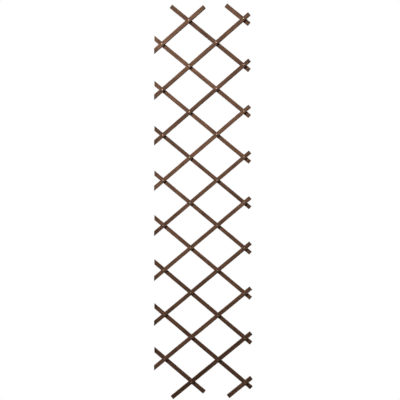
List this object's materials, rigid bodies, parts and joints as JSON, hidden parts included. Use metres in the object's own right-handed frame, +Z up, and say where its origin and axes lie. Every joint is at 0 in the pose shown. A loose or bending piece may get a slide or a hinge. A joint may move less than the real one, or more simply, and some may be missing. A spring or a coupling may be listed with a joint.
{
  "type": "garden trellis",
  "caption": "Expanding diamond-lattice garden trellis of brown-stained hardwood laths, riveted at every crossing so that it folds.",
  "frame": {"origin": "midway across and midway through the depth, level with the lowest tip", "axes": "+X across the panel to the viewer's right, +Y from the front to the wall behind, +Z up"},
  "size_m": [0.4524, 0.0184, 1.8027],
  "materials": {
    "front_lath_wood": "dark brown stain, dull, grain showing",
    "back_lath_wood": "dark brown stain, dull, grain showing",
    "rivet_steel": "browned, dull, worn brighter on the crown"
  },
  "bodies": {
    "middle_rivet": {"rivet_row09_col2": "rivet_steel"},
    "front_lath_01": {"front_lath_01": "front_lath_wood", "rivet_row02_col1": "rivet_steel", "rivet_row01_col2": "rivet_steel"},
    "front_lath_02": {"front_lath_02": "front_lath_wood", "rivet_row04_col1": "rivet_steel", "rivet_row03_col2": "rivet_steel", "rivet_row02_col3": "rivet_steel", "rivet_row01_col4": "rivet_steel"},
    "front_lath_03": {"front_lath_03": "front_lath_wood", "rivet_row06_col1": "rivet_steel", "rivet_row05_col2": "rivet_steel", "rivet_row04_col3": "rivet_steel", "rivet_row03_col4": "rivet_steel"},
    "front_lath_04": {"front_lath_04": "front_lath_wood", "rivet_row08_col1": "rivet_steel", "rivet_row07_col2": "rivet_steel", "rivet_row06_col3": "rivet_steel", "rivet_row05_col4": "rivet_steel"},
    "front_lath_05": {"front_lath_05": "front_lath_wood", "rivet_row10_col1": "rivet_steel", "rivet_row08_col3": "rivet_steel", "rivet_row07_col4": "rivet_steel"},
    "front_lath_06": {"front_lath_06": "front_lath_wood", "rivet_row12_col1": "rivet_steel", "rivet_row11_col2": "rivet_steel", "rivet_row10_col3": "rivet_steel", "rivet_row09_col4": "rivet_steel"},
    "front_lath_07": {"front_lath_07": "front_lath_wood", "rivet_row14_col1": "rivet_steel", "rivet_row13_col2": "rivet_steel", "rivet_row12_col3": "rivet_steel", "rivet_row11_col4": "rivet_steel"},
    "front_lath_08": {"front_lath_08": "front_lath_wood", "rivet_row16_col1": "rivet_steel", "rivet_row15_col2": "rivet_steel", "rivet_row14_col3": "rivet_steel", "rivet_row13_col4": "rivet_steel"},
    "front_lath_09": {"front_lath_09": "front_lath_wood", "rivet_row17_col2": "rivet_steel", "rivet_row16_col3": "rivet_steel", "rivet_row15_col4": "rivet_steel"},
    "front_lath_10": {"front_lath_10": "front_lath_wood", "rivet_row17_col4": "rivet_steel"},
    "back_lath_01": {"back_lath_01": "back_lath_wood"},
    "back_lath_02": {"back_lath_02": "back_lath_wood"},
    "back_lath_03": {"back_lath_03": "back_lath_wood"},
    "back_lath_04": {"back_lath_04": "back_lath_wood"},
    "back_lath_05": {"back_lath_05": "back_lath_wood"},
    "back_lath_06": {"back_lath_06": "back_lath_wood"},
    "back_lath_07": {"back_lath_07": "back_lath_wood"},
    "back_lath_08": {"back_lath_08": "back_lath_wood"},
    "back_lath_09": {"back_lath_09": "back_lath_wood"},
    "back_lath_10": {"back_lath_10": "back_lath_wood"}
  },
  "joints": [
    {"name": "lattice_fold", "type": "hinge", "parent": "middle_rivet", "child": "front_lath_05", "pos_m": [-0.05464, 0, 0.90423], "axis": [0, -1, 0], "range_deg": [-36.5, 46.5]},
    {"name": "back_lath_06_pivot", "type": "hinge", "parent": "middle_rivet", "child": "back_lath_06", "pos_m": [-0.05464, 0, 0.90423], "axis": [0, 1, 0], "range_deg": [-36.5, 46.5]},
    {"name": "back_lath_07_pivot", "type": "hinge", "parent": "front_lath_05", "child": "back_lath_07", "pos_m": [-0.17721, 0, 0.80138], "axis": [0, 1, 0], "range_deg": [-73, 93]},
    {"name": "back_lath_05_pivot", "type": "hinge", "parent": "front_lath_05", "child": "back_lath_05", "pos_m": [0.06793, 0, 1.00707], "axis": [0, 1, 0], "range_deg": [-73, 93]},
    {"name": "back_lath_04_pivot", "type": "hinge", "parent": "front_lath_05", "child": "back_lath_04", "pos_m": [0.1905, 0, 1.10992], "axis": [0, 1, 0], "range_deg": [-73, 93]},
    {"name": "front_lath_04_pivot", "type": "hinge", "parent": "back_lath_06", "child": "front_lath_04", "pos_m": [-0.17721, 0, 1.00707], "axis": [0, -1, 0], "range_deg": [-73, 93]},
    {"name": "front_lath_06_pivot", "type": "hinge", "parent": "back_lath_06", "child": "front_lath_06", "pos_m": [0.06793, 0, 0.80138], "axis": [0, -1, 0], "range_deg": [-73, 93]},
    {"name": "front_lath_07_pivot", "type": "hinge", "parent": "back_lath_06", "child": "front_lath_07", "pos_m": [0.1905, 0, 0.69853], "axis": [0, -1, 0], "range_deg": [-73, 93]},
    {"name": "front_lath_08_pivot", "type": "hinge", "parent": "back_lath_07", "child": "front_lath_08", "pos_m": [0.1905, 0, 0.49284], "axis": [0, -1, 0], "range_deg": [-73, 93]},
    {"name": "front_lath_03_pivot", "type": "hinge", "parent": "back_lath_05", "child": "front_lath_03", "pos_m": [-0.17721, 0, 1.21276], "axis": [0, -1, 0], "range_deg": [-73, 93]},
    {"name": "front_lath_02_pivot", "type": "hinge", "parent": "back_lath_04", "child": "front_lath_02", "pos_m": [-0.17721, 0, 1.41846], "axis": [0, -1, 0], "range_deg": [-73, 93]},
    {"name": "back_lath_03_pivot", "type": "hinge", "parent": "front_lath_04", "child": "back_lath_03", "pos_m": [0.1905, 0, 1.31561], "axis": [0, 1, 0], "range_deg": [-73, 93]},
    {"name": "back_lath_08_pivot", "type": "hinge", "parent": "front_lath_06", "child": "back_lath_08", "pos_m": [-0.17721, 0, 0.59569], "axis": [0, 1, 0], "range_deg": [-73, 93]},
    {"name": "back_lath_09_pivot", "type": "hinge", "parent": "front_lath_07", "child": "back_lath_09", "pos_m": [-0.17721, 0, 0.39], "axis": [0, 1, 0], "range_deg": [-73, 93]},
    {"name": "back_lath_10_pivot", "type": "hinge", "parent": "front_lath_08", "child": "back_lath_10", "pos_m": [-0.17721, 0, 0.1843], "axis": [0, 1, 0], "range_deg": [-73, 93]},
    {"name": "back_lath_02_pivot", "type": "hinge", "parent": "front_lath_03", "child": "back_lath_02", "pos_m": [0.1905, 0, 1.5213], "axis": [0, 1, 0], "range_deg": [-73, 93]},
    {"name": "back_lath_01_pivot", "type": "hinge", "parent": "front_lath_02", "child": "back_lath_01", "pos_m": [0.1905, 0, 1.72699], "axis": [0, 1, 0], "range_deg": [-73, 93]},
    {"name": "front_lath_01_pivot", "type": "hinge", "parent": "back_lath_03", "child": "front_lath_01", "pos_m": [-0.17721, 0, 1.62415], "axis": [0, -1, 0], "range_deg": [-73, 93]},
    {"name": "front_lath_09_pivot", "type": "hinge", "parent": "back_lath_08", "child": "front_lath_09", "pos_m": [0.1905, 0, 0.28715], "axis": [0, -1, 0], "range_deg": [-73, 93]},
    {"name": "front_lath_10_pivot", "type": "hinge", "parent": "back_lath_09", "child": "front_lath_10", "pos_m": [0.1905, 0, 0.08146], "axis": [0, -1, 0], "range_deg": [-73, 93]}
  ],
  "couplings": [
    {"joint": "back_lath_06_pivot", "follows": "lattice_fold", "ratio": 1},
    {"joint": "back_lath_07_pivot", "follows": "lattice_fold", "ratio": 2},
    {"joint": "back_lath_05_pivot", "follows": "lattice_fold", "ratio": 2},
    {"joint": "back_lath_04_pivot", "follows": "lattice_fold", "ratio": 2},
    {"joint": "front_lath_04_pivot", "follows": "lattice_fold", "ratio": 2},
    {"joint": "front_lath_06_pivot", "follows": "lattice_fold", "ratio": 2},
    {"joint": "front_lath_07_pivot", "follows": "lattice_fold", "ratio": 2},
    {"joint": "front_lath_08_pivot", "follows": "lattice_fold", "ratio": 2},
    {"joint": "front_lath_03_pivot", "follows": "lattice_fold", "ratio": 2},
    {"joint": "front_lath_02_pivot", "follows": "lattice_fold", "ratio": 2},
    {"joint": "back_lath_03_pivot", "follows": "lattice_fold", "ratio": 2},
    {"joint": "back_lath_08_pivot", "follows": "lattice_fold", "ratio": 2},
    {"joint": "back_lath_09_pivot", "follows": "lattice_fold", "ratio": 2},
    {"joint": "back_lath_10_pivot", "follows": "lattice_fold", "ratio": 2},
    {"joint": "back_lath_02_pivot", "follows": "lattice_fold", "ratio": 2},
    {"joint": "back_lath_01_pivot", "follows": "lattice_fold", "ratio": 2},
    {"joint": "front_lath_01_pivot", "follows": "lattice_fold", "ratio": 2},
    {"joint": "front_lath_09_pivot", "follows": "lattice_fold", "ratio": 2},
    {"joint": "front_lath_10_pivot", "follows": "lattice_fold", "ratio": 2}
  ]
}
